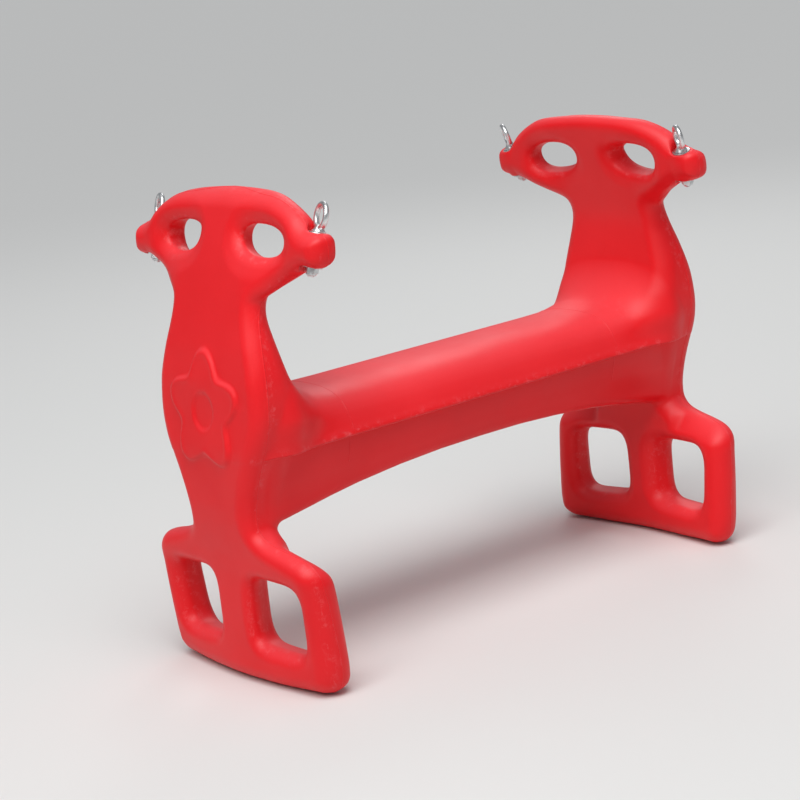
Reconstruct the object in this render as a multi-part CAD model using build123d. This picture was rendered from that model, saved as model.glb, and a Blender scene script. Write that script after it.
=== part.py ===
from build123d import *
import math
import os

# ---------------------------------------------------------------------------
# Glider swing: a one-piece hollow moulded body with two end panels and a
# saddle seat beam, hung from four swivelling eye bolts, one in each ear.
# Millimetres. +Z up, +X along the seat, origin under the centre of the body
# on the surface that the foot frames stand on.
# ---------------------------------------------------------------------------

# ---- driving dimensions ---------------------------------------------------
WALL = 5.0                 # moulded wall of the hollow body
HEAD_THICK = 49.0          # head and ears, front to back of the panel
TORSO_R = 21.0             # rounding of the torso's outboard edges
TORSO_R_IN = 28.0          # rounding of the torso's inboard edges (backrest)
FOOT_X0, FOOT_X1 = 384.0, 441.0    # foot frame, inboard and outboard faces
FOOT_R = 20.0              # rounding of the foot frame's edges
FOOT_HALF_W = 192.0        # half width of the foot frame
SEAT_TOP = 405.0           # crown of the seat
BEAM_END = 402.0           # beam runs this far into each end panel
LIP_Z = 340.0              # overhanging lip along the seat's sides
HAND_TILT_Y, HAND_TILT_Z = 0.2574, 0.1737   # hand holes splay out and up
FOOT_TILT_Y, FOOT_TILT_Z = 0.20, -0.05      # foot holes splay out

BOLT_R = 5.0               # M10 eye bolt shank
EYE_WIRE_R = 4.0           # forged ring wire
EYE_MAJOR_R = 16.5         # ring centre line, 41 mm outside
EYE_LAND_R = 12.75         # short cylindrical land inside the ring
EYE_CENTRE = 24.0          # ring centre above the ear's top face
COLLAR_R = 10.0            # collar seat
WASHER_R, WASHER_RI, WASHER_T = 14.0, 5.3, 2.0
NUT_AF, NUT_H, NUT_COLLAR_H = 17.0, 7.4, 3.2
TIP_BELOW_NUT = 2.0
SLEEVE_R, SLEEVE_RI = 8.0, 5.05    # steel spacer sleeve, running fit on shank
EAR_GRIP = 44.0            # ear thickness between the two washers
RELIEF_R = 22.5            # dished relief that lets the ring swivel past the head
SEAT_FACE_R = 15.5         # spot face under the lower washer

# bolt axis: centre of the ear's top face and direction, for the (+X, +Y) ear
EAR_TOP = (353.9, 193.7, 647.0)
AXIS = (-0.2788, 0.1090, 0.9541)

# ring direction in plan (degrees from +X) as the bolts stand at rest
EYES = {
    "left_front": (-1, -1, -16.5),
    "left_rear": (-1, 1, -18.0),
    "right_front": (1, -1, -30.0),
    "right_rear": (1, 1, -33.0),
}

# torso sections for the +X panel: z, half width, inboard x, outboard x
TORSO = [
    (186, 58, 390.0, 434.0),
    (200, 66, 389.0, 440.0),
    (215, 72, 388.0, 446.0),
    (235, 73, 387.0, 450.5),
    (262, 74, 386.0, 452.5),
    (297, 84.7, 380.0, 452.5),
    (339, 103.2, 372.0, 450.5),
    (364, 114.3, 366.0, 448.0),
    (390, 121.6, 358.0, 444.8),
    (418, 123.0, 357.0, 442.2),
    (445, 121.4, 363.0, 439.0),
    (468, 117.0, 367.0, 435.5),
    (495, 109.5, 371.0, 429.5),
    (521, 101.5, 373.5, 422.5),
    (545, 96.5, 373.0, 415.0),
    (572, 93.0, 367.5, 407.0),
    (598, 90.0, 360.0, 396.0),
]

# head and ear sections for the +X panel: |y|, z low, z high, inset at the ear's tip
HEAD = [
    (0, 547, 704.4, 0),
    (40, 547, 703.8, 0),
    (80, 551, 700.8, 0),
    (105, 560, 697.0, 0),
    (128, 572, 691.5, 0),
    (148, 584.5, 683.0, 0),
    (163, 592.5, 672.5, 0),
    (176, 598.0, 660.0, 0),
    (188, 601.5, 651.0, 0),
    (200, 603.0, 648.3, 0.2),
    (210, 603.5, 647.5, 1.2),
    (217, 604.0, 647.0, 3.8),
    (221, 604.0, 647.0, 8.0),
    (222.5, 604.0, 647.0, 12.0),
]

# half outline of the seat beam's section: y, z
BEAM = [
    (0, 405.0), (30, 404.2), (52, 401.0), (70, 395.0), (84, 386.0), (94, 374.0),
    (101, 359.0), (106, 345.0), (107.5, 340.0), (105.0, 336.0), (98.0, 332.5),
    (91.5, 324.0), (85.5, 308.0), (78.0, 288.0), (70.5, 264.0), (64.0, 225.0),
]

# arched underside of the beam: x, z
ARCH = [
    (0, 268.5), (80, 268.3), (160, 267.0), (240, 263.0), (290, 258.0),
    (335, 250.5), (372, 243.0), (395, 236.0), (420, 225.0),
]


# ---- helpers --------------------------------------------------------------
def rounded_rect(w0, w1, h0, h1, r00, r10, r11, r01, d=0.0, n=5):
    """Points of a rounded rectangle, inset by d, corner radii per corner."""
    w0, w1, h0, h1 = w0 + d, w1 - d, h0 + d, h1 - d
    corners = []
    for (cx, cy, r, a0) in (
        (w1, h1, r11, 0.0), (w0, h1, r01, 90.0), (w0, h0, r00, 180.0), (w1, h0, r10, 270.0),
    ):
        r = max(r - d, 3.0)
        ox = cx - r if cx == w1 else cx + r
        oy = cy - r if cy == h1 else cy + r
        corners.append([(ox + r * math.cos(math.radians(a0 + 90.0 * i / (n - 1))),
                         oy + r * math.sin(math.radians(a0 + 90.0 * i / (n - 1)))) for i in range(n)])
    pts = []
    for k, arc in enumerate(corners):
        pts += arc
        p, q = arc[-1], corners[(k + 1) % 4][0]
        between = 1 if k % 2 == 0 else 4
        for i in range(1, between + 1):
            f = i / (between + 1)
            pts.append((p[0] + (q[0] - p[0]) * f, p[1] + (q[1] - p[1]) * f))
    return pts


def skin(sections, ruled=False):
    """Solid through closed smooth sections that share one parametrisation."""
    count = len(sections[0])
    share = [0.0] * count
    for pts in sections:
        chords = [math.dist(pts[i], pts[(i + 1) % count]) for i in range(count)]
        total = sum(chords)
        for i in range(count):
            share[i] += chords[i] / total / len(sections)
    params = [0.0]
    for v in share:
        params.append(params[-1] + v)
    wires = [Wire([Edge.make_spline([Vector(*p) for p in pts], periodic=True, parameters=params)])
             for pts in sections]
    return Solid.make_loft(wires, ruled=ruled)


def head_x(z):
    """Middle surface of the leaning head."""
    return 370.0 - (z - 630.0) * 0.345


def superellipse(cy, cz, a, b, n, tilt, taper, grow=0.0, count=28):
    out = []
    for i in range(count):
        t = 2 * math.pi * i / count
        c, s = math.cos(t), math.sin(t)
        x = (a + grow) * math.copysign(abs(c) ** (2 / n), c)
        y = (b + grow) * math.copysign(abs(s) ** (2 / n), s)
        x *= 1 + taper * y / b
        out.append((cy + x * math.cos(tilt) - y * math.sin(tilt),
                    cz + x * math.sin(tilt) + y * math.cos(tilt)))
    return out


def tunnel(points, x_mid, ty, tz, half):
    """Slanted prism along X through the closed (y, z) outline."""
    lo = [(x_mid - half, y - ty * half, z - tz * half) for y, z in points]
    hi = [(x_mid + half, y + ty * half, z + tz * half) for y, z in points]
    return skin([lo, hi], ruled=True)


# ---- one end panel (+X end), inset by d ------------------------------------
def torso(d):
    sections = []
    for z, w, xi, xo in TORSO:
        ri = min(TORSO_R_IN, (xo - xi) / 2 - 2.0)
        ro = min(TORSO_R, (xo - xi) / 2 - 2.0)
        pts = rounded_rect(xi, xo, -w, w, ri, ro, ro, ri, d)
        sections.append([(x, y, z) for x, y in pts])
    return skin(sections)


def head(d):
    sections = []
    for side in (-1, 1):
        rows = HEAD[::-1] if side < 0 else HEAD[1:]
        for y, z0, z1, tip in rows:
            t = HEAD_THICK - 2 * tip
            z0, z1 = z0 + tip, z1 - tip
            r = min(22.0 - tip, (z1 - z0) / 2 - 2.0, t / 2 - 2.0)
            yy = side * (y - d * min(1.0, max(0.0, (y - 195) / 15)))
            pts = rounded_rect(-t / 2, t / 2, z0, z1, r, r, r, r, d)
            sections.append([(head_x(z) + u, yy, z) for u, z in pts])
    return skin(sections)


def foot(d):
    w = FOOT_HALF_W
    pts = [(-w + 3, 0), (w - 3, 0), (w, 176), (150, 206), (84, 216), (-84, 216), (-150, 206), (-w, 176)]
    with BuildSketch(Plane.YZ) as outline:
        with BuildLine():
            FilletPolyline(*pts, radius=24, close=True)
        make_face()
    face = outline.sketch
    if d:
        face = offset(face, amount=-d)
    slab = extrude(face.moved(Location((FOOT_X0 + d, 0, 0))), amount=FOOT_X1 - FOOT_X0 - 2 * d)
    slab = slab.solids()[0]
    return slab.fillet(FOOT_R - d, slab.edges().filter_by(lambda e: abs(e.center().X - (FOOT_X0 + d)) < 0.1 or abs(e.center().X - (FOOT_X1 - d)) < 0.1))


def beam(d):
    half = BEAM
    pts = []
    for i, (y, z) in enumerate(half):
        a = half[max(i - 1, 0)]
        b = half[min(i + 1, len(half) - 1)]
        ty, tz = b[0] - a[0], b[1] - a[1]
        length = math.hypot(ty, tz)
        ny, nz = -tz / length, ty / length      # outward normal
        if i == 0:
            ny, nz = 0.0, 1.0
        pts.append((max(y - ny * d, 0.0), z - nz * d) if z > 230 else (y - d, z))
    left = [(-y, z) for y, z in pts[::-1]]
    line = left + pts[1:]
    with BuildSketch(Plane.YZ) as section:
        with BuildLine():
            Spline(*line)
            Line(line[-1], line[0])
        make_face()
    bar = extrude(section.sketch.moved(Location((-BEAM_END, 0, 0))), amount=2 * BEAM_END)
    full = [(-x, z + d) for x, z in ARCH[::-1]] + [(x, z + d) for x, z in ARCH[1:]]
    with BuildSketch(Plane.XZ) as under:
        with BuildLine():
            Spline(*full)
            Polyline(full[-1], (full[-1][0], 100), (full[0][0], 100), full[0])
        make_face()
    bar = bar - extrude(under.sketch, amount=300, both=True)
    bar = bar.solids()[0]
    low = [e for e in bar.edges() if e.center().Z < 275 + d and abs(e.center().Y) > 50 and e.length > 500]
    return bar.fillet(12.0 - d / 2, low)


def ear_plane(sx, sy, ring_deg=None):
    u = Vector(AXIS[0] * sx, AXIS[1] * sy, AXIS[2]).normalized()
    origin = Vector(EAR_TOP[0] * sx, EAR_TOP[1] * sy, EAR_TOP[2])
    a = math.radians(ring_deg or 0.0)
    flat = Vector(math.cos(a), math.sin(a), 0)
    x_dir = (flat - u * flat.dot(u)).normalized()
    return Plane(origin=origin, x_dir=x_dir, z_dir=u)


def solid_of(shape):
    return max(shape.solids(), key=lambda s: s.volume)


def panel(d):
    p = solid_of(torso(d) + head(d))
    return solid_of(p + foot(d))


HAND_Q = (93.2, 635.0, 49.9, 26.4, 2.2564, -0.0462, 0.0824)
FOOT_Q = (91.5, 108.5, 58.0, 54.5, 4.4, -0.03, 0.02)


def tunnels(d):
    out = []
    for sy in (-1, 1):
        hp = superellipse(*HAND_Q, grow=d)
        fp = superellipse(*FOOT_Q, grow=d)
        if sy < 0:
            hp = [(-y, z) for y, z in hp]
            fp = [(-y, z) for y, z in fp]
        out.append(tunnel(hp, head_x(635), HAND_TILT_Y * sy, HAND_TILT_Z, 60))
        out.append(tunnel(fp, 412.5, FOOT_TILT_Y * sy, FOOT_TILT_Z, 60))
    return out


def whole(d):
    end = panel(d)
    other = end.mirror(Plane.YZ)
    return solid_of((end + beam(d)) + other)


def both_ends(shapes):
    return shapes + [s.mirror(Plane.YZ) for s in shapes]


# ---- hardware, each in its ear's own frame ---------------------------------
def eye_bolt(place):
    ring = Torus(EYE_MAJOR_R, EYE_WIRE_R).rotate(Axis.Y, 90)
    ring = ring.moved(Location((0, 0, EYE_CENTRE)))
    land = Cylinder(EYE_LAND_R, 30).rotate(Axis.Y, 90).moved(Location((0, 0, EYE_CENTRE)))
    tip = -(EAR_GRIP + WASHER_T + NUT_H + NUT_COLLAR_H + TIP_BELOW_NUT)
    with BuildSketch(Plane.XZ) as profile:
        with BuildLine():
            Polyline((0, tip), (BOLT_R - 1.0, tip), (BOLT_R, tip + 1.0), (BOLT_R, WASHER_T),
                     (COLLAR_R, WASHER_T), (COLLAR_R, WASHER_T + 2.0), (8.6, WASHER_T + 3.2),
                     (6.4, WASHER_T + 6.5), (5.4, WASHER_T + 9.0), (0, WASHER_T + 9.0), (0, tip))
        make_face()
    stem = revolve(profile.sketch, Axis.Z)
    body = (ring + stem) - land
    return place * solid_of(body)


def washer(place, low):
    ring = Cylinder(WASHER_R, WASHER_T) - Cylinder(WASHER_RI, WASHER_T * 2)
    ring = solid_of(ring)
    rim = [e for e in ring.edges().filter_by(GeomType.CIRCLE) if abs(e.radius - WASHER_R) < 0.01]
    ring = ring.chamfer(0.35, None, rim)
    return place * Location((0, 0, low + WASHER_T / 2)) * ring


def lock_nut(place):
    top = -(EAR_GRIP + WASHER_T)
    hexagon = extrude(RegularPolygon(NUT_AF / 2, 6, major_radius=False), amount=-NUT_H)
    crown = Cone(NUT_AF / 2 * 1.13 + 5.5, NUT_AF / 2 * 1.13 - 1.2, NUT_H, align=(Align.CENTER, Align.CENTER, Align.MIN))
    crown = crown.rotate(Axis.X, 180)
    hexagon = hexagon & crown
    collar = Cylinder(7.6, NUT_COLLAR_H, align=(Align.CENTER, Align.CENTER, Align.MAX)).moved(Location((0, 0, -NUT_H)))
    nut = solid_of(hexagon + collar)
    low_edge = [e for e in nut.edges().filter_by(GeomType.CIRCLE) if abs(e.radius - 7.6) < 0.01 and e.center().Z < -NUT_H - 1]
    nut = nut.fillet(1.2, low_edge)
    nut = nut - Cylinder(BOLT_R, 60)
    pocket = Cylinder(6.6, 2.0, align=(Align.CENTER, Align.CENTER, Align.MAX)).moved(Location((0, 0, -NUT_H - 0.6)))
    nut = solid_of(nut - pocket)
    return place * Location((0, 0, top)) * nut


def nut_insert(place):
    top = -(EAR_GRIP + WASHER_T) - NUT_H - 0.6
    ring = Cylinder(6.6, 2.0, align=(Align.CENTER, Align.CENTER, Align.MAX)) - Cylinder(BOLT_R, 60)
    return place * Location((0, 0, top)) * solid_of(ring)


def sleeve(place):
    tube = Cylinder(SLEEVE_R, EAR_GRIP, align=(Align.CENTER, Align.CENTER, Align.MAX)) - Cylinder(SLEEVE_RI, 200)
    return place * solid_of(tube)


# ---- the moulded body -------------------------------------------------------
outer = whole(0.0)
for t in both_ends(tunnels(0.0)):
    outer = solid_of(outer - t)
inner = whole(WALL)
for t in both_ends(tunnels(WALL)):
    inner = solid_of(inner - t)
for name, (sx, sy, deg) in EYES.items():
    frame = ear_plane(sx, sy, deg).location
    # dished relief over the washer seat, spot face under the ear, both flat
    relief = frame * Cylinder(RELIEF_R, 60, align=(Align.CENTER, Align.CENTER, Align.MIN))
    spot = frame * Location((0, 0, -EAR_GRIP)) * Cylinder(SEAT_FACE_R, 14, align=(Align.CENTER, Align.CENTER, Align.MAX))
    outer = solid_of(outer - relief - spot)
    # keep the wall thickness under both seats
    keep_top = frame * Location((0, 0, -WALL)) * Cylinder(RELIEF_R, 60, align=(Align.CENTER, Align.CENTER, Align.MIN))
    keep_low = frame * Location((0, 0, -EAR_GRIP + WALL)) * Cylinder(SEAT_FACE_R, 24, align=(Align.CENTER, Align.CENTER, Align.MAX))
    inner = solid_of(inner - keep_top - keep_low)
shell = solid_of(outer - inner)
for name, (sx, sy, deg) in EYES.items():
    frame = ear_plane(sx, sy, deg).location
    shell = solid_of(shell - frame * Cylinder(SLEEVE_R, 130))

os.makedirs("parts", exist_ok=True)
export_step(shell, "parts/body_shell.step")
for name, (sx, sy, deg) in EYES.items():
    frame = ear_plane(sx, sy, deg).location
    export_step(eye_bolt(frame), "parts/eye_bolt_" + name + ".step")
    export_step(washer(frame, 0.0), "parts/upper_washer_" + name + ".step")
    export_step(washer(frame, -EAR_GRIP - WASHER_T), "parts/lower_washer_" + name + ".step")
    export_step(lock_nut(frame), "parts/lock_nut_" + name + ".step")
    export_step(nut_insert(frame), "parts/nut_insert_" + name + ".step")
    export_step(sleeve(frame), "parts/spacer_sleeve_" + name + ".step")
box = shell.bounding_box()
print("body", [round(v, 1) for v in box.size], "volume", round(shell.volume), shell.is_valid,
      "shells", len(shell.shells()))
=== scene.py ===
import bpy
import math
import numpy as np
from mathutils import Matrix, Vector
from mathutils.bvhtree import BVHTree


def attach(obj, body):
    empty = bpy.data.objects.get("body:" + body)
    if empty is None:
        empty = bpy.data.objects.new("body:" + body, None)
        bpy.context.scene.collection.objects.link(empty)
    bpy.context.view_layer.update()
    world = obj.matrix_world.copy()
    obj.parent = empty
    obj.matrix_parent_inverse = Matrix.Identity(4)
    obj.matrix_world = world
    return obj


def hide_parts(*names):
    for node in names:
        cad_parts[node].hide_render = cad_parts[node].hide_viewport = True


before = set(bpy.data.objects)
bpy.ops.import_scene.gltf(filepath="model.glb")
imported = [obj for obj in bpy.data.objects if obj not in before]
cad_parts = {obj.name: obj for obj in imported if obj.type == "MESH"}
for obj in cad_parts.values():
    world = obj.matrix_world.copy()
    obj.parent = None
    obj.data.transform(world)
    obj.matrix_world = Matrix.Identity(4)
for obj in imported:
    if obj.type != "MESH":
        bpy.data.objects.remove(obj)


def note_size():
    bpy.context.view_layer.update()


note_size()

# ---------------------------------------------------------------------------
# helpers, lengths in mm inside the field, metres in the meshes
# ---------------------------------------------------------------------------


def step01(v, a, b):
    t = np.clip((v - a) / (b - a), 0.0, 1.0)
    return t * t * (3.0 - 2.0 * t)


def r_union(a, b, k):
    """Union with a true fillet of radius k."""
    return np.maximum(k, np.minimum(a, b)) - np.hypot(np.maximum(k - a, 0.0), np.maximum(k - b, 0.0))


def r_cut(a, b, r):
    """Intersection with an edge rounding of radius r."""
    return np.minimum(-r, np.maximum(a, b)) + np.hypot(np.maximum(r + a, 0.0), np.maximum(r + b, 0.0))


def spline(points, per=8, closed=False):
    """Catmull-Rom through the points."""
    p = np.asarray(points, float)
    n = len(p)
    out = []
    for i in range(n if closed else n - 1):
        if closed:
            a, b, c, d = p[(i - 1) % n], p[i], p[(i + 1) % n], p[(i + 2) % n]
        else:
            a, b, c, d = p[max(i - 1, 0)], p[i], p[i + 1], p[min(i + 2, n - 1)]
        for k in range(per):
            t = k / per
            out.append(0.5 * ((2 * b) + (c - a) * t + (2 * a - 5 * b + 4 * c - d) * t * t
                              + (3 * b - a - 3 * c + d) * t ** 3))
    if not closed:
        out.append(p[-1])
    return np.array(out)


class Field2:
    """Signed distance to a closed outline on a fine grid, negative inside."""

    def __init__(self, poly, lo, hi, h=1.5, blur=0):
        self.lo, self.h = np.array(lo, float), h
        nx, ny = int((hi[0] - lo[0]) / h) + 2, int((hi[1] - lo[1]) / h) + 2
        xs, ys = lo[0] + h * np.arange(nx), lo[1] + h * np.arange(ny)
        px, py = np.meshgrid(xs, ys, indexing="ij")
        px, py = px.ravel(), py.ravel()
        best = np.full(px.shape, 1e9)
        inside = np.zeros(px.shape, bool)
        n = len(poly)
        for i in range(n):
            ax, ay = poly[i]
            bx, by = poly[(i + 1) % n]
            dx, dy = bx - ax, by - ay
            den = dx * dx + dy * dy
            if den < 1e-12:
                continue
            t = np.clip(((px - ax) * dx + (py - ay) * dy) / den, 0, 1)
            best = np.minimum(best, (px - ax - t * dx) ** 2 + (py - ay - t * dy) ** 2)
            cross = (ay > py) != (by > py)
            if abs(dy) > 1e-12:
                inside ^= cross & (px < dx * (py - ay) / dy + ax)
        d = np.sqrt(best)
        d = np.where(inside, -d, d).reshape(nx, ny)
        for _ in range(blur):
            e = np.pad(d, 1, mode="reflect", reflect_type="odd")
            d = 0.5 * d + 0.125 * (e[:-2, 1:-1] + e[2:, 1:-1] + e[1:-1, :-2] + e[1:-1, 2:])
        self.d = d

    def __call__(self, x, y):
        u = np.clip((x - self.lo[0]) / self.h, 0, self.d.shape[0] - 1.001)
        v = np.clip((y - self.lo[1]) / self.h, 0, self.d.shape[1] - 1.001)
        i, j = u.astype(np.int32), v.astype(np.int32)
        a, b = u - i, v - j
        d = self.d
        return ((d[i, j] * (1 - a) + d[i + 1, j] * a) * (1 - b)
                + (d[i, j + 1] * (1 - a) + d[i + 1, j + 1] * a) * b)


# ---------------------------------------------------------------------------
# the moulded body as a distance field, one quadrant (x >= 0, y >= 0), mm
# ---------------------------------------------------------------------------
OUTLINE = [
    (0.3, 704.4, 343.6), (29.6, 703.6, 347.2), (55, 702.4, 352.9), (86.4, 700, 357), (116, 695.4, 359.1),
    (144.8, 685.4, 361.1), (168.4, 672.4, 362.3), (183, 660.0, 362.4), (197, 650.5, 362.3), (212, 647.2, 361.8),
    (219.3, 642.5, 361.6), (222.2, 633, 361.5), (222.2, 620, 361.3), (219, 609.5, 361.3), (211, 604.5, 361.2),
    (197.8, 603.6, 361.1), (181.4, 600.2, 364.1), (149.3, 586, 373.5), (117.8, 568.6, 383.1), (102.5, 559.0, 389),
    (98, 549.5, 395.6), (101.0, 526, 403.4), (109.5, 495.2, 410.4), (116.9, 467.6, 415.5),
    (121.1, 444.8, 418.5), (123, 416.4, 421.5), (121.6, 390.3, 423.7), (114.3, 364, 425.4),
    (103.2, 338.8, 426.9), (84.7, 296.9, 429.1), (74.2, 262, 430.5), (72.9, 242, 430.5), (77.0, 228.7, 429.4),
    (90, 218.2, 427.6), (114.2, 210.4, 425.3), (142.8, 204, 421.8), (168.2, 196.3, 418.4), (184, 184, 416.5),
    (190.5, 168, 414.9), (191.6, 148.6, 412.2), (192.1, 128.2, 409.9), (192.3, 99.2, 406.7), (191.8, 67.8, 402.7),
    (190.3, 37.4, 400.4), (184, 14.5, 401.0), (165.7, 3.2, 402.8), (144.6, 2.0, 407.4), (118.7, 1.2, 410.3),
    (82.6, 0.2, 412.3), (38.8, 0.2, 415.2), (0, 0.2, 416.6),
]
half = spline([(y, z) for y, z, x in OUTLINE], 6)
ring = np.vstack([half, (half * [-1, 1])[::-1][1:-1]])
PANEL = Field2(ring, (-12, -30), (262, 745), 1.5, blur=3)

OUTER = np.array([(-30, 443.5), (0, 443.5), (50, 443.5), (120, 443), (160, 442.5), (190, 444.5), (215, 448.3),
                  (240, 451.7), (262, 453), (300, 452.7), (350, 451), (394, 444.8), (441.5, 440), (489, 431.8),
                  (521, 424.3), (545, 418.3), (570, 412.2), (600, 404), (630, 394.5), (704.4, 368.8), (745, 355)])
INNER = np.array([(-30, 386.5), (150, 386.5), (200, 388), (262, 386), (297, 380), (339, 372), (364, 367), (390, 362),
                  (418, 361), (445, 366), (468, 370), (495, 373.3), (521, 375.5), (535, 375.2), (545, 373.2),
                  (560, 368.5), (580, 361.8), (600, 355), (630, 345.5), (704.4, 319.8), (745, 306)])


def smooth_table(t, lo=-30, hi=745, h=1.0, width=14):
    z = np.arange(lo, hi + h, h)
    v = np.interp(z, t[:, 0], t[:, 1])
    w = np.hanning(2 * width + 1)
    w /= w.sum()
    return z, np.convolve(np.pad(v, width, mode="edge"), w, mode="valid")


OZ, OV = smooth_table(OUTER)
IZ, IV = smooth_table(INNER)


def lean(y, z):
    """How far the ears stand upright of the leaning head, added to both faces."""
    head = 370.0 - (z - 630.0) * 0.345
    ear = 363.0 - (z - 640.0) * 0.10
    return (ear - head) * step01(y, 70.0, 165.0) * step01(z, 545.0, 590.0)


def foot_shift(y, z):
    return -np.minimum(1.0, np.abs(y) / 190.0) ** 1.6 * np.maximum(0.0, 18.5 - 0.09 * z) * (1 - step01(z, 150.0, 215.0))


def outer_face(y, z):
    return np.interp(z, OZ, OV) + lean(y, z) + foot_shift(y, z)


def shoulder(y, z):
    return step01(y, 78.0, 104.0) * step01(z, 165.0, 205.0) * (1 - step01(z, 216.0, 245.0))


def inner_face(y, z):
    return np.interp(z, IZ, IV) + lean(y, z) + foot_shift(y, z) + 15.0 * shoulder(y, z)


# seat beam section: crown, lip, recessed wall
SEAT = [
    (0, 405.2), (18, 404.9), (36, 403.7), (52, 401.0), (66, 396.9), (78, 391.0), (87.5, 383.0), (95, 372.5),
    (100.5, 361.0), (104.8, 350.5), (107.6, 344.0), (108.6, 339.5), (108.6, 330.0), (108.4, 300.0), (108.4, 250.0),
]
WALL = [
    (0, 385), (60, 384), (80, 378), (90, 368), (94.5, 352), (95.4, 340), (94.8, 331.8), (93.6, 325.0), (91.2, 315.5), (87.8, 304.0),
    (84.4, 292.5), (79.5, 278.0), (75.0, 262.0), (71.5, 240.0), (69.0, 215.0),
]


def half_section(points):
    h = spline(points, 6)
    return Field2(np.vstack([h, (h * [-1, 1])[::-1][:-1]]), (-12, 190), (262, 745), 1.5, blur=2)


UPPER = half_section(SEAT)
LOWER = half_section(WALL)
ARCH = np.array([(0, 266.0), (80, 265.2), (160, 261.0), (240, 253.5), (290, 246.5), (335, 239.0), (372, 233.0),
                 (395, 230), (420, 220), (480, 200)])


def superellipse(cy, cz, a, b, n, tilt, taper, count=72):
    out = []
    for i in range(count):
        t = 2 * math.pi * i / count
        c, s = math.cos(t), math.sin(t)
        x = a * math.copysign(abs(c) ** (2 / n), c)
        y = b * math.copysign(abs(s) ** (2 / n), s)
        x *= 1 + taper * y / b
        out.append((cy + x * math.cos(tilt) - y * math.sin(tilt), cz + x * math.sin(tilt) + y * math.cos(tilt)))
    return np.array(out)


HAND = Field2(superellipse(93.2, 635.0, 49.9, 26.4, 2.2564, -0.0462, 0.0824), (-40, 540), (270, 745), 1.5, blur=2)
FOOT = Field2(superellipse(91.5, 108.5, 58.0, 54.5, 4.4, -0.03, 0.02), (-40, -60), (270, 300), 1.5, blur=2)

EAR_TOP = np.array([353.9, 193.7, 647.0])
AXIS = np.array([-0.2788, 0.1090, 0.9541])
AXIS = AXIS / np.linalg.norm(AXIS)
EAR_GRIP = 44.0


def rosette(y, z):
    """Signed distance, roughly, to the five-petal outline, mirrored in y."""
    dy, dz = y, z - 402.0
    r = np.hypot(dy, dz)
    th = np.arctan2(dz, dy)
    lobe = 76.0 + 13.0 * np.cos(5 * (th - math.pi / 2)) + 1.5 * np.cos(2 * th + math.pi)
    return (r - lobe) * 0.86, np.hypot(dy, dz * 0.90)


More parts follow.
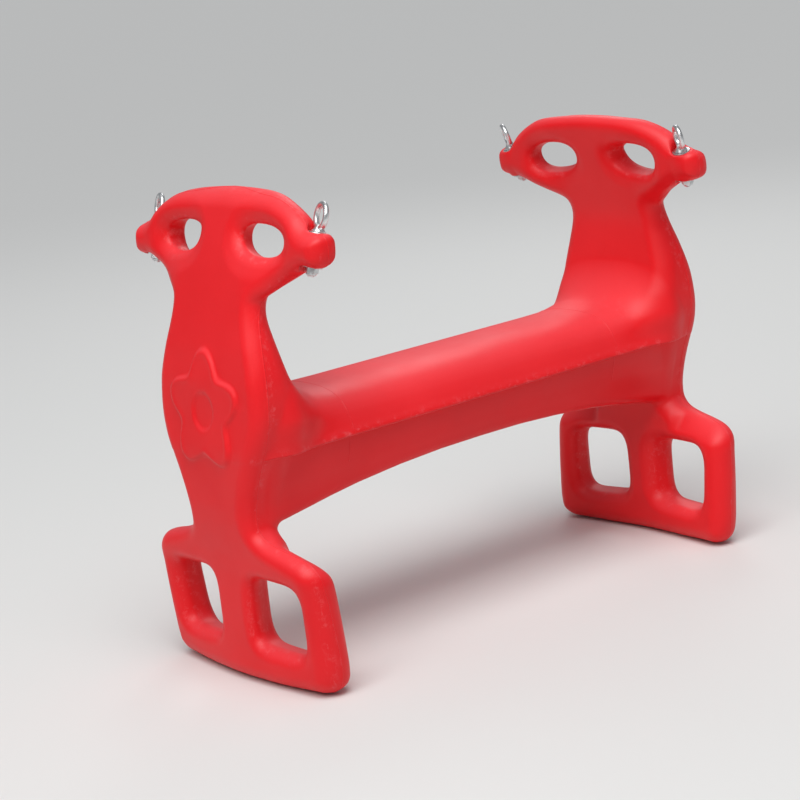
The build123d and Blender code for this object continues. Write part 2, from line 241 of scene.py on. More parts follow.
def field(x, y, z, detail=True):
    x, y = np.abs(x), np.abs(y)
    xo, xi = outer_face(y, z), inner_face(y, z)
    a = PANEL(y, z)
    # raised rosette on the outer face
    if detail:
        d, r = rosette(y, z)
        lift = 4.2 * (1 - step01(d, -6.5, 1.0)) + 0.7 * np.exp(-((d + 8.0) / 3.5) ** 2) - 3.0 * (1 - step01(r, 20.0, 27.5))
        xo = xo + lift
        ho = HAND(y - 0.2574 * 24.5, z - 0.1737 * 24.5)
        xo = xo - 5.0 * (1 - step01(ho, 0.0, 30.0)) * step01(z, 560, 600) * (1 - step01(y, 150, 185))
        hi = HAND(y + 0.2574 * 24.5, z + 0.1737 * 24.5)
        xi = xi + 3.0 * (1 - step01(hi, 0.0, 24.0)) * step01(z, 560, 600) * (1 - step01(y, 150, 185))
    # the faces are gently crowned across the width
    slope = 1.05
    b = (x - xo) / slope
    c = (xi - x) / slope
    ro = 21.5 + 3.0 * step01(z, 560, 610) + 5.0 * (1 - step01(z, 170, 225)) - 3.5 * step01(y, 180, 205) * step01(z, 560, 600)
    ri = 28.5 - 7.0 * shoulder(y, z) - 5.0 * step01(z, 560, 610) - 1.0 * (1 - step01(z, 170, 225)) - 3.0 * step01(y, 180, 205) * step01(z, 560, 600)
    panel = np.maximum(r_cut(a, b, ro), r_cut(a, c, ri))
    # beam
    arch = (np.interp(x, ARCH[:, 0], ARCH[:, 1]) - z) * 0.99
    end = 2.0 * step01(x, 392, 418)
    # seat form: crown, flanks and the sweep up each end, cut off level at the lip
    u = UPPER(y, z + 0.5 + 2.6 * (1 - step01(x, 200, 360)) * step01(z, 345, 395)) + end
    u = u - 16.0 * step01(x, 252, 380) * step01(z, 343, 388)
    u = r_cut(u, x - 422.0, 8.0)
    k = 56.0 - 46.0 * step01(x, 368, 424)
    top = r_union(panel, u, k)
    top = r_cut(top, 336.5 - z, 2.0)
    # recessed wall below the lip, arched underside
    low = r_cut(LOWER(y, z) + end, arch, 13.0)
    low = r_cut(low, x - 415.0, 8.0)
    low = r_union(panel, low, 12.0 * (1 - 0.6 * step01(x, 385, 415)))
    body = r_union(top, low, 1.5)
    # holes, splayed outboard, rims rounded, wider on the outer side
    mid = 370.0 - (635.0 - 630.0) * 0.345
    side = x - mid
    h = -HAND(y - 0.2574 * side, z - 0.1737 * side) - 0.22 * side - 2.3
    rim = 12.0 + 11.0 * step01(side, -8.0, 14.0)
    near = step01(z, 540, 560)
    body = np.where(near > 0, r_cut(body, h, rim), body)
    side = x - 412.5
    h = -FOOT(y - 0.20 * side, z + 0.05 * side) - 0.23 * side - 1.4
    rim = 17.0 + 8.0 * step01(side, -10.0, 12.0)
    body = np.where(z < 240, r_cut(body, h, rim), body)
    # seats for the washers: a boss up to the seat plane, then cut flat above it
    px, py, pz = x - EAR_TOP[0], y - EAR_TOP[1], z - EAR_TOP[2]
    t = px * AXIS[0] + py * AXIS[1] + pz * AXIS[2]
    rad = np.sqrt(np.maximum(px * px + py * py + pz * pz - t * t, 0.0))
    close = (rad < 60) & (t > -110) & (t < 80)
    boss = np.maximum(rad - 16.2, np.maximum(t + 0.0, -EAR_GRIP - t))
    boss = r_cut(rad - 16.2, np.maximum(t, -EAR_GRIP - t), 1.5)
    with_boss = r_union(body, boss, 7.0)
    with_boss = r_cut(with_boss, np.minimum(t, 50.0) - 0.0 + 0.0 * rad, 0.0) if False else with_boss
    # room for the turning ring above the upper washer, negative inside the cutter
    reach = 15.0 + 6.7 * step01(t, 4.0, 24.0)
    cut_top = np.maximum((rad - reach) * 0.95, -t)
    cut_low = np.maximum(rad - 17.0, t + EAR_GRIP)
    cutter = np.minimum(cut_top, cut_low)
    cut = r_cut(with_boss, -cutter, 2.6)
    return np.where(close, cut, body)


def build_body(h):
    x = -h / 2 + h * np.arange(int(468 / h) + 2)
    y = -h / 2 + h * np.arange(int(234 / h) + 2)
    z = -12 + h * np.arange(int(730 / h) + 2)
    shape = (len(x), len(y), len(z))
    f = np.empty(shape, np.float32)
    zz, yy = z[None, None, :], y[None, :, None]
    for i0 in range(0, len(x), 16):
        xs = x[i0:i0 + 16][:, None, None]
        g = np.broadcast_arrays(xs, yy, zz)
        f[i0:i0 + 16] = field(np.ascontiguousarray(g[0]).ravel(), np.ascontiguousarray(g[1]).ravel(),
                              np.ascontiguousarray(g[2]).ravel()).reshape(g[0].shape)
    neg = f < 0
    cells = np.zeros((shape[0] - 1, shape[1] - 1, shape[2] - 1), np.int8)
    for dx in (0, 1):
        for dy in (0, 1):
            for dz in (0, 1):
                cells += neg[dx:dx + shape[0] - 1, dy:dy + shape[1] - 1, dz:dz + shape[2] - 1]
    active = np.argwhere((cells > 0) & (cells < 8))
    index = np.full(cells.shape, -1, np.int64)
    index[tuple(active.T)] = np.arange(len(active))
    acc, cnt = np.zeros((len(active), 3)), np.zeros(len(active))
    corners = [(0, 0, 0), (1, 0, 0), (0, 1, 0), (1, 1, 0), (0, 0, 1), (1, 0, 1), (0, 1, 1), (1, 1, 1)]
    for a in range(8):
        for b in range(a + 1, 8):
            ca, cb = np.array(corners[a]), np.array(corners[b])
            if np.abs(ca - cb).sum() != 1:
                continue
            fa, fb = f[tuple((active + ca).T)], f[tuple((active + cb).T)]
            m = (fa < 0) != (fb < 0)
            t = np.where(m, fa / np.where(m, fa - fb, 1), 0)[:, None]
            p = ca + (cb - ca) * t
            acc += p * m[:, None]
            cnt += m
    v = active + acc / cnt[:, None]
    v = np.stack([x[0] + h * v[:, 0], y[0] + h * v[:, 1], z[0] + h * v[:, 2]], 1)
    quads = []
    for axis in range(3):
        sl0, sl1 = [slice(None)] * 3, [slice(None)] * 3
        sl0[axis], sl1[axis] = slice(0, -1), slice(1, None)
        change = neg[tuple(sl0)] != neg[tuple(sl1)]
        e = np.argwhere(change)
        others = [k for k in range(3) if k != axis]
        ok = np.ones(len(e), bool)
        for k in others:
            ok &= (e[:, k] >= 1) & (e[:, k] <= shape[k] - 2)
        ok &= e[:, axis] <= shape[axis] - 2
        if axis in (0, 1):
            ok &= e[:, axis] >= 1
        e = e[ok]
        inside_first = neg[tuple(e.T)]
        o1, o2 = np.zeros(3, int), np.zeros(3, int)
        o1[others[0]], o2[others[1]] = 1, 1
        q = np.stack([index[tuple((e - o1 - o2).T)], index[tuple((e - o2).T)], index[tuple(e.T)], index[tuple((e - o1).T)]], 1)
        flip = inside_first if axis != 1 else ~inside_first
        q[~flip] = q[~flip][:, ::-1]
        quads.append(q)
    quads = np.vstack(quads)
    quads = quads[(quads >= 0).all(1)]
    on_x, on_y = np.abs(v[:, 0]) < h * 0.51, np.abs(v[:, 1]) < h * 0.51
    on_x &= active[:, 0] == 0
    on_y &= active[:, 1] == 0
    v[on_x, 0], v[on_y, 1] = 0, 0
    for _ in range(3):
        e = 0.4
        d = field(*v.T)
        g = np.stack([field(v[:, 0] + e, v[:, 1], v[:, 2]) - field(v[:, 0] - e, v[:, 1], v[:, 2]),
                      field(v[:, 0], v[:, 1] + e, v[:, 2]) - field(v[:, 0], v[:, 1] - e, v[:, 2]),
                      field(v[:, 0], v[:, 1], v[:, 2] + e) - field(v[:, 0], v[:, 1], v[:, 2] - e)], 1) / (2 * e)
        g[on_x, 0], g[on_y, 1] = 0, 0
        move = g * (d / np.maximum((g * g).sum(1), 0.2))[:, None]
        n = np.linalg.norm(move, axis=1, keepdims=True)
        v -= move * np.minimum(1, 1.2 / np.maximum(n, 1e-9))
    # mirror into the other three quadrants, sharing the vertices on the planes
    n = len(v)
    ids = {(1, 1): np.arange(n)}
    verts = [v]
    total = n
    for sx, sy in ((-1, 1), (1, -1), (-1, -1)):
        if (sx, sy) == (-1, 1):
            base, own = np.where(on_x, ids[(1, 1)], -1), ~on_x
        elif (sx, sy) == (1, -1):
            base, own = np.where(on_y, ids[(1, 1)], -1), ~on_y
        else:
            base = np.where(on_x, ids[(1, -1)], np.where(on_y, ids[(-1, 1)], -1))
            own = ~(on_x | on_y)
        new = base.copy()
        new[own] = total + np.arange(own.sum())
        verts.append(v[own] * [sx, sy, 1])
        total += int(own.sum())
        ids[(sx, sy)] = new
    allv = np.vstack(verts)
    faces = []
    for (sx, sy), m in ids.items():
        q = m[quads]
        faces.append(q if sx * sy > 0 else q[:, ::-1])
    return allv, np.vstack(faces)


def mesh_object(name, verts, faces, smooth=True):
    me = bpy.data.meshes.new(name)
    verts = np.asarray(verts, float)
    me.vertices.add(len(verts))
    me.vertices.foreach_set("co", verts.ravel())
    faces = [np.asarray(f) for f in faces] if not isinstance(faces, np.ndarray) else faces
    if isinstance(faces, np.ndarray):
        sizes = np.full(len(faces), faces.shape[1])
        loops = faces.ravel()
    else:
        sizes = np.array([len(f) for f in faces])
        loops = np.concatenate(faces)
    me.loops.add(len(loops))
    me.loops.foreach_set("vertex_index", loops.astype(np.int32))
    me.polygons.add(len(sizes))
    starts = np.concatenate([[0], np.cumsum(sizes)[:-1]])
    me.polygons.foreach_set("loop_start", starts.astype(np.int32))
    me.update(calc_edges=True)
    me.validate()
    me.polygons.foreach_set("use_smooth", np.full(len(me.polygons), smooth))
    ob = bpy.data.objects.new(name, me)
    bpy.context.scene.collection.objects.link(ob)
    return ob


GRID = 2.6
bv, bf = build_body(GRID)
body = mesh_object("moulded_body", bv * 0.001, bf)

# wear and painted sheen, 0 to 1: where hands, feet and the mould's edges rub the plastic, plus a painted highlight
# along the seat crown
ax, ay, az = np.abs(bv[:, 0]), np.abs(bv[:, 1]), bv[:, 2]
edge = PANEL(ay, az)
mid_x = 0.5 * (outer_face(ay, az) + inner_face(ay, az))
seam = np.exp(-((ax - np.interp(az, [0, 200, 262, 545, 704], [410, 428, 431, 397, 352])) / 7.0) ** 2) * (edge > -9)
side = ax - 368.3
throat = np.exp(-(np.abs(HAND(ay - 0.2574 * side, az - 0.1737 * side)) / 7.0) ** 2) * (az > 560)
side = ax - 412.5
throat = throat + np.exp(-(np.abs(FOOT(ay - 0.20 * side, az + 0.05 * side)) / 7.0) ** 2) * (az < 230)
lip = np.exp(-((az - 341) / 6.0) ** 2) * (ay > 96) * (ax < 445)
# seat crown: partly rubbing, partly a painted highlight that pinks the top of the seat
seat = 0.35 * np.exp(-((az - 404) / 14.0) ** 2) * (ax < 330)
base = 0.6 * np.exp(-(az / 10.0) ** 2)
wear = np.clip(seam * 0.8 + throat * 0.9 + lip + seat + base, 0, 1)
attr = body.data.attributes.new("wear", "FLOAT", "POINT")
attr.data.foreach_set("value", wear.astype(np.float32))

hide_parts("body_shell")
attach(body, "root")

tree = BVHTree.FromObject(body, bpy.context.evaluated_depsgraph_get())


def bead(name, path, normals, width=0.0016, height=0.0005, closed=True):
    """Low bead of flash standing on the surface along the path."""
    path, normals = np.asarray(path), np.asarray(normals)
    n = len(path)
    tang = np.roll(path, -1, 0) - np.roll(path, 1, 0) if closed else np.gradient(path, axis=0)
    tang /= np.linalg.norm(tang, axis=1, keepdims=True)
    across = np.cross(tang, normals)
    across /= np.linalg.norm(across, axis=1, keepdims=True)
    prof = [(-1.0, -0.0005), (-0.6, height * 0.55), (0.0, height), (0.6, height * 0.55), (1.0, -0.0005), (0.0, -0.0012)]
    v = np.concatenate([path + across * (a * width) + normals * b for a, b in prof])
    f = []
    m = len(prof)
    for k in range(m):
        for i in range(n if closed else n - 1):
            j = (i + 1) % n
            f.append((k * n + i, k * n + j, ((k + 1) % m) * n + j, ((k + 1) % m) * n + i))
    f = np.array(f)
    if not closed:
        ob = mesh_object(name, v, [np.array(q) for q in f] + [np.array([k * n for k in range(m)]), np.array([k * n + n - 1 for k in range(m)][::-1])])
    else:
        ob = mesh_object(name, v, f)
    return ob


def snap(p, towards, reach=0.06):
    d = Vector(towards).normalized()
    hit = tree.ray_cast(Vector(p) - d * reach, d, reach * 2)
    return hit


def outline_loop(sx):
    full = spline([(y, z, x) for y, z, x in OUTLINE], 5)
    loop = np.vstack([full, (full * [-1, 1, 1])[::-1][1:-1]])
    n = len(loop)
    pts, nrm = [], []
    for i in range(n):
        y, z, x = loop[i]
        a, b = loop[(i - 2) % n], loop[(i + 2) % n]
        t = np.array([b[0] - a[0], b[1] - a[1]])
        t /= np.linalg.norm(t)
        out = np.array([0.0, t[1], -t[0]])
        if PANEL(np.abs(np.array([y + out[1] * 3])), np.array([z + out[2] * 3]))[0] < PANEL(np.abs(np.array([y])), np.array([z]))[0]:
            out = -out
        p = np.array([sx * x, y, z]) * 0.001
        hit = snap(p, (0, -out[1], -out[2]), 0.03)
        if hit[0] is None:
            continue
        pts.append(np.array(hit[0]))
        nrm.append(np.array(hit[1]))
    return np.array(pts), np.array(nrm)


flash = []
for sx, label in ((1, "right"), (-1, "left")):
    pts, nrm = outline_loop(sx)
    nrm = 0.5 * nrm + 0.25 * (np.roll(nrm, 1, 0) + np.roll(nrm, -1, 0))
    nrm /= np.linalg.norm(nrm, axis=1, keepdims=True)
    ob = bead("parting_line_" + label, pts, nrm)
    flash.append(ob)


def section_loop(x, label, z_low=262.0):
    """Faint joint of the mould's inserts, round the beam in a plane of constant x."""
    pts, nrm = [], []
    for ang in np.linspace(-205, 25, 150):
        a = math.radians(-ang)
        d = np.array([0.0, math.cos(a), math.sin(a)])
        o = np.array([x, 0.0, 0.335])
        hit = tree.ray_cast(Vector(o + d * 0.3), Vector(-d), 0.3)
        if hit[0] is None:
            continue
        pts.append(np.array(hit[0]))
        nrm.append(np.array(hit[1]))
    return bead("insert_line_" + label, pts, nrm, 0.0012, 0.00035, closed=False)


flash.append(section_loop(-0.267, "left"))
flash.append(section_loop(0.267, "right"))
for ob in flash:
    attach(ob, "root")

# ---------------------------------------------------------------------------
# hardware, built in the ear's own frame (z up the bolt), mm
# ---------------------------------------------------------------------------
CORNERS = {"left_front": (-1, -1, -16.5), "left_rear": (-1, 1, -18.0),
           "right_front": (1, -1, -30.0), "right_rear": (1, 1, -33.0)}


def ear_frame(sx, sy, deg):
    u = np.array([AXIS[0] * sx, AXIS[1] * sy, AXIS[2]])
    a = math.radians(deg)
    flat = np.array([math.cos(a), math.sin(a), 0.0])
    xd = flat - u * flat.dot(u)
    xd /= np.linalg.norm(xd)
    yd = np.cross(u, xd)
    return np.stack([xd, yd, u], 1), np.array([EAR_TOP[0] * sx, EAR_TOP[1] * sy, EAR_TOP[2]])


def placed(v, fr):
    r, o = fr
    return (np.asarray(v) @ r.T + o) * 0.001


def lathe(profile, seg=64, closed=False):
    """Verts and faces of a profile (radius, z) turned about z."""
    v, f = [], []
    n = len(profile)
    for r, z in profile:
        for k in range(seg):
            t = 2 * math.pi * k / seg
            v.append((r * math.cos(t), r * math.sin(t), z))
    rows = n if closed else n - 1
    for i in range(rows):
        j = (i + 1) % n
        for k in range(seg):
            m = (k + 1) % seg
            f.append(np.array((i * seg + k, i * seg + m, j * seg + m, j * seg + k)))
    if not closed:
        f.append(np.array(range(seg))[::-1].copy())
        f.append(np.array(range((n - 1) * seg, n * seg)))
    return v, f


def eye_ring(seg=96, tube=28):
    """Forged ring: wire slightly flattened and thicker where it joins the neck."""
    v, f = [], []
    for i in range(seg):
        t = 2 * math.pi * i / seg
        base = 0.5 + 0.5 * math.cos(t + math.pi / 2)      # 1 at the bottom (t = -90 deg)
        base = 0.5 - 0.5 * math.sin(t)
        w = 4.0 + 0.5 * base ** 6
        for j in range(tube):
            s = 2 * math.pi * j / tube
            cs, sn = math.cos(s), math.sin(s)
            rr = 16.5 + w * cs
            rr = max(rr, 12.75) if cs < 0 else rr
            v.append((w * 1.0 * sn, rr * math.cos(t), 24.0 + rr * math.sin(t)))
    for i in range(seg):
        for j in range(tube):
            a, b = (i + 1) % seg, (j + 1) % tube
            f.append(np.array((i * tube + j, a * tube + j, a * tube + b, i * tube + b))[::-1].copy())
    return v, f


def thread(r_out=5.0, r_in=4.25, pitch=1.5, z0=-57.0, z1=-40.0, seg=40):
    """Helical thread with a chamfered point."""
    v, f = [], []
    rows = int((z1 - z0) / pitch * 6)
    zs = [z0 + (z1 - z0) * i / rows for i in range(rows + 1)]
    for i, z in enumerate(zs):
        for k in range(seg):
            t = 2 * math.pi * k / seg
            ph = ((z - z0) / pitch - k / seg) % 1.0
            tri = 1 - abs(2 * ph - 1)
            r = r_in + (r_out - r_in) * min(1.0, tri * 1.35)
            r = min(r, 3.9 + (z - z0) * 0.9)
            v.append((r * math.cos(t), r * math.sin(t), z))
    for i in range(rows):
        for k in range(seg):
            m = (k + 1) % seg
            f.append(np.array((i * seg + k, i * seg + m, (i + 1) * seg + m, (i + 1) * seg + k)))
    f.append(np.array(range(seg))[::-1].copy())
    f.append(np.array(range(rows * seg, (rows + 1) * seg)))
    return v, f


def merge(parts):
    v, f, off = [], [], 0
    for pv, pf in parts:
        v += list(pv)
        f += [np.asarray(q) + off for q in pf]
        off += len(pv)
    return v, f


def bolt():
    stem = lathe([(4.9, -40.0), (5.0, -39.0), (5.0, 1.9), (9.7, 2.0), (10.0, 2.3), (10.0, 3.7), (9.75, 4.05), (8.9, 4.25),
                  (8.6, 4.6), (8.2, 5.4), (7.3, 6.7), (6.5, 8.0), (5.9, 9.4), (5.5, 10.6), (5.2, 12.0)], 64)
    return merge([eye_ring(), stem, thread(4.98, 4.3, 1.5, -EAR_GRIP - 2 - 7.4 - 3.2 - 2, -39.8)])


def washer(low):
    return lathe([(5.3, low + 0.2), (5.5, low), (13.6, low), (13.9, low + 0.2), (14.0, low + 0.5), (14.0, low + 1.45),
                  (13.75, low + 1.85), (13.3, low + 2.0), (5.6, low + 2.0), (5.3, low + 1.75)], 72, closed=True)


def nut():
    """Hexagon with chamfered corners and a rounded locking collar."""
    top = -(EAR_GRIP + 2.0)
    seg = 96
    rows = []
    apothem = 8.5

    def hexr(t, cap):
        a = (t + math.pi / 6) % (math.pi / 3) - math.pi / 6
        return min(apothem / math.cos(a), cap)
    for z, cap in ((0.0, 8.45), (-0.35, 8.9), (-1.0, 9.81), (-6.4, 9.81), (-7.05, 8.9), (-7.4, 8.3)):
        rows.append((z, [hexr(2 * math.pi * k / seg, cap) for k in range(seg)]))
    for z, r in ((-7.5, 7.6), (-8.2, 7.55), (-9.3, 7.45), (-10.1, 7.0), (-10.5, 6.3), (-10.6, 5.6), (-10.2, 5.15)):
        rows.append((z, [r] * seg))
    v, f = [], []
    for z, rr in rows:
        for k in range(seg):
            t = 2 * math.pi * k / seg
            v.append((rr[k] * math.cos(t), rr[k] * math.sin(t), top + z))
    inner = [(5.05, top - 9.9), (5.05, top)]
    for r, z in inner:
        for k in range(seg):
            t = 2 * math.pi * k / seg
            v.append((r * math.cos(t), r * math.sin(t), z))
    n = len(rows) + 2
    for i in range(n):
        j = (i + 1) % n
        for k in range(seg):
            m = (k + 1) % seg
            f.append(np.array((i * seg + k, i * seg + m, j * seg + m, j * seg + k))[::-1].copy())
    return v, f


def insert():
    top = -(EAR_GRIP + 2.0) - 7.4
    return lathe([(5.02, top - 0.7), (6.4, top - 0.7), (6.6, top - 0.9), (6.6, top - 2.4), (6.3, top - 2.6), (5.02, top - 2.6)], 48, closed=True)


def harden(ob, angle=32):
    """Splits the shading at real corners."""
    for p in ob.data.polygons:
        p.use_smooth = True
    ob.data.set_sharp_from_angle(angle=math.radians(angle))


metal = []
for corner, (sx, sy, deg) in CORNERS.items():
    fr = ear_frame(sx, sy, deg)
    for label, (v, f), node, bd, sl in (
        ("eye_bolt_piece_", bolt(), "eye_bolt_", "swivel_" + corner, "zinc_steel"),
        ("upper_washer_piece_", washer(0.0), "upper_washer_", "root", "zinc_washer"),
        ("lower_washer_piece_", washer(-EAR_GRIP - 2.0), "lower_washer_", "root", "zinc_washer"),
        ("lock_nut_piece_", nut(), "lock_nut_", "swivel_" + corner, "zinc_nut"),
        ("nut_insert_piece_", insert(), "nut_insert_", "swivel_" + corner, "nylon_insert"),
    ):
        ob = mesh_object(label + corner, placed(v, fr), f)
        bpy.context.view_layer.objects.active = ob
        ob.select_set(True)
        bpy.ops.object.mode_set(mode="EDIT")
        bpy.ops.mesh.select_all(action="SELECT")
        bpy.ops.mesh.normals_make_consistent(inside=False)
        bpy.ops.object.mode_set(mode="OBJECT")
        ob.select_set(False)
        harden(ob)
        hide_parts(node + corner)
        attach(ob, bd)
        metal.append((ob, sl))

# ---------------------------------------------------------------------------
# materials
# ---------------------------------------------------------------------------


def new_material(name):
    m = bpy.data.materials.new(name)
    m.use_nodes = True
    nt = m.node_tree
    return m, nt, nt.nodes["Principled BSDF"]


def noise(nt, scale, detail=4.0, rough=0.55, coord=None):
    n = nt.nodes.new("ShaderNodeTexNoise")
    n.inputs["Scale"].default_value = scale
    n.inputs["Detail"].default_value = detail
    n.inputs["Roughness"].default_value = rough
    nt.links.new(coord, n.inputs["Vector"])
    return n.outputs["Fac"]


def ramp(nt, fac, stops):
    r = nt.nodes.new("ShaderNodeValToRGB")
    e = r.color_ramp.elements
    while len(e) < len(stops):
        e.new(0.5)
    for k, (p, c) in enumerate(stops):
        e[k].position = p
        e[k].color = (*c, 1) if len(c) == 3 else c
    nt.links.new(fac, r.inputs["Fac"])
    return r.outputs["Color"]


def mapped(nt, a, b, c, d, src):
    n = nt.nodes.new("ShaderNodeMapRange")
    for key, val in (("From Min", a), ("From Max", b), ("To Min", c), ("To Max", d)):
        n.inputs[key].default_value = val
    nt.links.new(src, n.inputs["Value"])
    return n.outputs["Result"]


def math_node(nt, op, a, b):
    n = nt.nodes.new("ShaderNodeMath")
    n.operation = op
    for i, s in enumerate((a, b)):
        if isinstance(s, (int, float)):
            n.inputs[i].default_value = s
        else:
            nt.links.new(s, n.inputs[i])
    return n.outputs[0]


def mix(nt, fac, a, b):
    n = nt.nodes.new("ShaderNodeMix")
    n.data_type = "RGBA"
    for key, s in ((0, fac), (6, a), (7, b)):
        if hasattr(s, "is_output") or not isinstance(s, (tuple, float, int)):
            nt.links.new(s, n.inputs[key])
        else:
            n.inputs[key].default_value = s if key == 0 else (*s, 1)
    return n.outputs[2]


def plastic(name, use_wear_and_sheen=True):
    m, nt, bsdf = new_material(name)
    co = nt.nodes.new("ShaderNodeTexCoord").outputs["Object"]
    tone = noise(nt, 5.0, 3.0, 0.5, co)
    base = ramp(nt, tone, [(0.30, (0.74, 0.005, 0.009)), (0.55, (0.80, 0.008, 0.013)), (0.75, (0.84, 0.012, 0.018))])
    grain = noise(nt, 420.0, 3.0, 0.6, co)
    base = mix(nt, mapped(nt, 0.35, 0.75, 0.0, 0.10, grain), base, (0.62, 0.003, 0.006))
    stretch = nt.nodes.new("ShaderNodeMapping")
    stretch.inputs["Scale"].default_value = (1.0, 7.0, 1.0)
    stretch.inputs["Rotation"].default_value = (0.3, 0.5, 0.7)
    nt.links.new(co, stretch.inputs["Vector"])
    scratch = noise(nt, 55.0, 6.0, 0.7, stretch.outputs["Vector"])
    scratch = mapped(nt, 0.60, 0.72, 0.0, 1.0, scratch)
    patch = mapped(nt, 0.52, 0.70, 0.0, 1.0, noise(nt, 75.0, 6.0, 0.75, co))
    if use_wear_and_sheen:
        # the wear attribute also carries the painted highlight on the seat crown
        at = nt.nodes.new("ShaderNodeAttribute")
        at.attribute_name = "wear"
        wear_and_sheen_fac = at.outputs["Fac"]
        rub = math_node(nt, "MULTIPLY", math_node(nt, "MAXIMUM", scratch, patch), wear_and_sheen_fac)
        rub = math_node(nt, "MULTIPLY", rub, 0.40)
        rub = math_node(nt, "ADD", rub, math_node(nt, "MULTIPLY", scratch, 0.035))
    else:
        rub = math_node(nt, "MULTIPLY", math_node(nt, "MAXIMUM", scratch, patch), 0.26)
    # faces that look up at the sky are lightened towards pink: a painted highlight standing in for the sky's reflection
    # on top surfaces
    split = nt.nodes.new("ShaderNodeSeparateXYZ")
    tc = nt.nodes.new("ShaderNodeTexCoord")
    nt.links.new(tc.outputs["Normal"], split.inputs[0])
    painted_sky_sheen = mapped(nt, 0.25, 1.0, 0.0, 0.26, split.outputs["Z"])
    base = mix(nt, painted_sky_sheen, base, (0.87, 0.17, 0.20))
    base = mix(nt, rub, base, (0.82, 0.20, 0.22))
    nt.links.new(base, bsdf.inputs["Base Color"])
    rough = mapped(nt, 0.3, 0.7, 0.38, 0.50, noise(nt, 9.0, 4.0, 0.6, co))
    rough = math_node(nt, "ADD", rough, math_node(nt, "MULTIPLY", rub, 0.5))
    nt.links.new(rough, bsdf.inputs["Roughness"])
    bump = nt.nodes.new("ShaderNodeBump")
    bump.inputs["Strength"].default_value = 0.10
    bump.inputs["Distance"].default_value = 0.0006
    height = math_node(nt, "ADD", noise(nt, 260.0, 2.0, 0.5, co), math_node(nt, "MULTIPLY", noise(nt, 30.0, 2.0, 0.5, co), 1.5))
    nt.links.new(height, bump.inputs["Height"])
    nt.links.new(bump.outputs["Normal"], bsdf.inputs["Normal"])
    bsdf.inputs["IOR"].default_value = 1.49
    bsdf.inputs["Specular IOR Level"].default_value = 0.32
    bsdf.inputs["Subsurface Weight"].default_value = 0.06
    bsdf.inputs["Subsurface Radius"].default_value = (0.012, 0.003, 0.002)
    bsdf.inputs["Subsurface Scale"].default_value = 0.5
    return m


def zinc(name, tint, rough0, scale):
    m, nt, bsdf = new_material(name)
    co = nt.nodes.new("ShaderNodeTexCoord").outputs["Object"]
    tone = noise(nt, scale, 4.0, 0.6, co)
    dark = tuple(c * 0.74 for c in tint)
    base = ramp(nt, tone, [(0.30, dark), (0.52, tint), (0.72, tuple(min(1.0, c * 1.12) for c in tint))])
    spots = mapped(nt, 0.64, 0.74, 0.0, 0.5, noise(nt, scale * 6, 3.0, 0.7, co))
    base = mix(nt, spots, base, (0.34, 0.33, 0.31))
    nt.links.new(base, bsdf.inputs["Base Color"])
    bsdf.inputs["Metallic"].default_value = 1.0
    nt.links.new(mapped(nt, 0.3, 0.7, rough0, rough0 + 0.16, noise(nt, scale * 2, 4.0, 0.6, co)), bsdf.inputs["Roughness"])
    bump = nt.nodes.new("ShaderNodeBump")
    bump.inputs["Strength"].default_value = 0.18
    bump.inputs["Distance"].default_value = 0.0003
    nt.links.new(noise(nt, scale * 8, 3.0, 0.6, co), bump.inputs["Height"])
    nt.links.new(bump.outputs["Normal"], bsdf.inputs["Normal"])
    return m


def nylon(name):
    m, nt, bsdf = new_material(name)
    co = nt.nodes.new("ShaderNodeTexCoord").outputs["Object"]
    tone = noise(nt, 220.0, 3.0, 0.5, co)
    nt.links.new(ramp(nt, tone, [(0.3, (0.66, 0.66, 0.60)), (0.7, (0.82, 0.82, 0.77))]), bsdf.inputs["Base Color"])
    nt.links.new(mapped(nt, 0.3, 0.7, 0.35, 0.5, tone), bsdf.inputs["Roughness"])
    return m


mats = {
    "body_plastic": plastic("red_polyethylene"),
    "parting": plastic("red_polyethylene_flash", False),
    "zinc_steel": zinc("bright_zinc_forged", (0.76, 0.765, 0.77), 0.29, 90.0),
    "zinc_washer": zinc("bright_zinc_pressed", (0.64, 0.65, 0.66), 0.28, 110.0),
    "zinc_nut": zinc("bright_zinc_nut", (0.66, 0.665, 0.67), 0.24, 120.0),
    "nylon_insert": nylon("natural_nylon"),
    "sleeve_steel": zinc("plated_tube", (0.55, 0.55, 0.56), 0.32, 70.0),
}


def paint(ob, mat):
    ob.data.materials.clear()
    ob.data.materials.append(mat)


paint(body, mats["body_plastic"])
for ob in flash:
    paint(ob, mats["parting"])
for ob, sl in metal:
    paint(ob, mats[sl])
SLOTS = {"eye_bolt": "zinc_steel", "upper_washer": "zinc_washer", "lower_washer": "zinc_washer", "lock_nut": "zinc_nut",
         "nut_insert": "nylon_insert", "spacer_sleeve": "sleeve_steel", "body_shell": "body_plastic"}
for node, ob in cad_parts.items():
    key = next(k for k in SLOTS if node.startswith(k))
    mat = mats["parting"] if key == "body_shell" else mats[SLOTS[key]]
    for s in ob.material_slots:
        s.material = mat

# ---------------------------------------------------------------------------
# stage: plain pale floor, soft studio light, camera
# ---------------------------------------------------------------------------
fm, fnt, fb = new_material("pale_floor")
fb.inputs["Base Color"].default_value = (0.70, 0.70, 0.69, 1)
fb.inputs["Roughness"].default_value = 0.85
floor = mesh_object("floor", np.array([(-160, -160, 0), (160, -160, 0), (160, 160, 0), (-160, 160, 0)], float), np.array([[0, 1, 2, 3]]), smooth=False)
paint(floor, fm)

world = bpy.data.worlds.new("studio")
bpy.context.scene.world = world
world.use_nodes = True
bg = world.node_tree.nodes["Background"]
bg.inputs["Color"].default_value = (0.93, 0.96, 1.0, 1)
bg.inputs["Strength"].default_value = 0.27


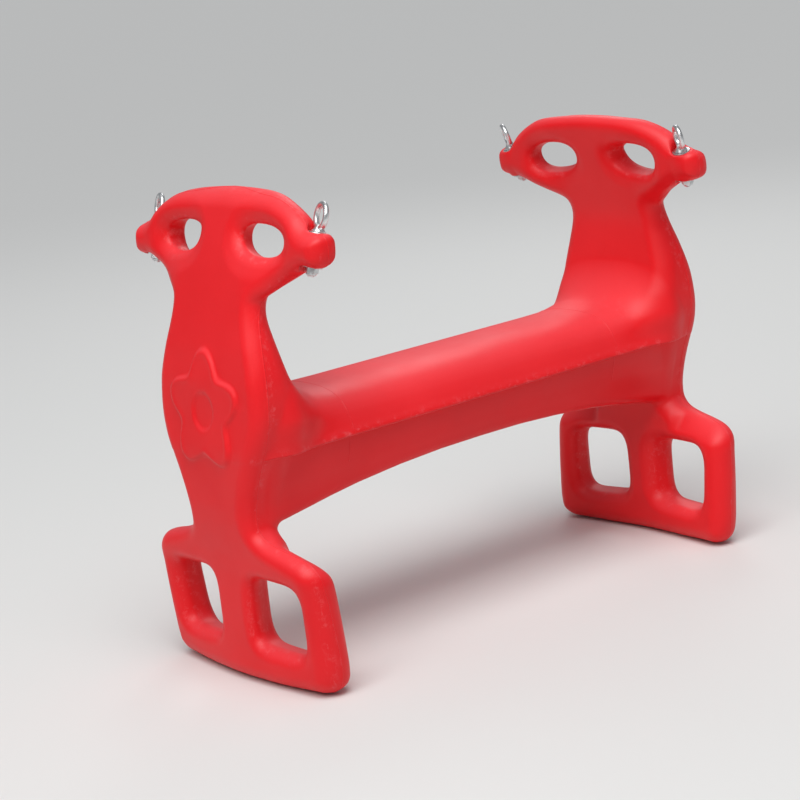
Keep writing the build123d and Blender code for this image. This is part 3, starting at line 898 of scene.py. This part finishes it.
def area(name, loc, target, size, power, color=(1, 1, 1)):
    data = bpy.data.lights.new(name, "AREA")
    data.shape = "DISK"
    data.size = size
    data.energy = power
    data.color = color
    ob = bpy.data.objects.new(name, data)
    bpy.context.scene.collection.objects.link(ob)
    d = Vector(target) - Vector(loc)
    ob.matrix_world = Matrix.Translation(Vector(loc)) @ d.to_track_quat("-Z", "Y").to_matrix().to_4x4()
    return ob


area("overhead", (-0.9, -1.2, 3.2), (0, 0, 0.3), 2.6, 42, (1.0, 0.995, 0.985))
area("key", (-3.2, -0.8, 2.6), (0, 0, 0.4), 1.5, 20, (1.0, 0.99, 0.97))
area("back", (2.6, 2.4, 2.8), (0, 0, 0.4), 1.6, 18, (1.0, 1.0, 1.0))
sun_data = bpy.data.lights.new("soft_sun", "SUN")
sun_data.energy = 1.62
sun_data.angle = math.radians(48)
sun = bpy.data.objects.new("soft_sun", sun_data)
bpy.context.scene.collection.objects.link(sun)
sun.matrix_world = Vector((0.34, 0.36, -1.0)).to_track_quat("-Z", "Y").to_matrix().to_4x4()

cam_data = bpy.data.cameras.new("camera")
cam = bpy.data.objects.new("camera", cam_data)
bpy.context.scene.collection.objects.link(cam)
cam_data.lens = 98.62
cam_data.sensor_width = 36.0
cam_data.clip_end = 600.0
AZ, EL, ROLL, DIST = math.radians(-38.2355), math.radians(12.6453), math.radians(-6.5065), 3.19321
back = np.array([math.sin(AZ) * math.cos(EL), -math.cos(AZ) * math.cos(EL), math.sin(EL)])
right = np.cross([0, 0, 1.0], back)
right /= np.linalg.norm(right)
up = np.cross(back, right)
cr = right * math.cos(ROLL) + up * math.sin(ROLL)
cu = -right * math.sin(ROLL) + up * math.cos(ROLL)
loc = np.array([-0.164655, -0.088817, 0.362660]) + back * DIST
mw = np.eye(4)
mw[:3, 0], mw[:3, 1], mw[:3, 2], mw[:3, 3] = cr, cu, back, loc
cam.matrix_world = Matrix(mw.tolist())
bpy.context.scene.camera = cam
bpy.context.scene.view_settings.view_transform = "Standard"

note_size()
